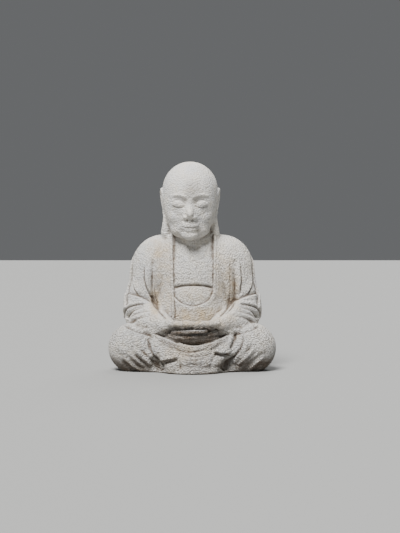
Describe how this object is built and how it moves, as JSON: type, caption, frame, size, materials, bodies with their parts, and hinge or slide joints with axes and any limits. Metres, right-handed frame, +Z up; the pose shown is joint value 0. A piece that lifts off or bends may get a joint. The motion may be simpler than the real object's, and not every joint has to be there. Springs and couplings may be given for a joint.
{
  "type": "seated stone monk statue",
  "caption": "Carved stone figure of a seated monk with a shaved head, legs folded under a robe and hands laid in the lap.",
  "frame": {"origin": "middle of the underside, on the surface that the figure sits on", "axes": "+Z up, the figure looks along -Y and its left hand is on +X"},
  "size_m": [0.3226, 0.221, 0.4008],
  "materials": {
    "stone": "rough, pitted, matt"
  },
  "bodies": {
    "root": {"jizo_figure": "stone"}
  },
  "joints": []
}
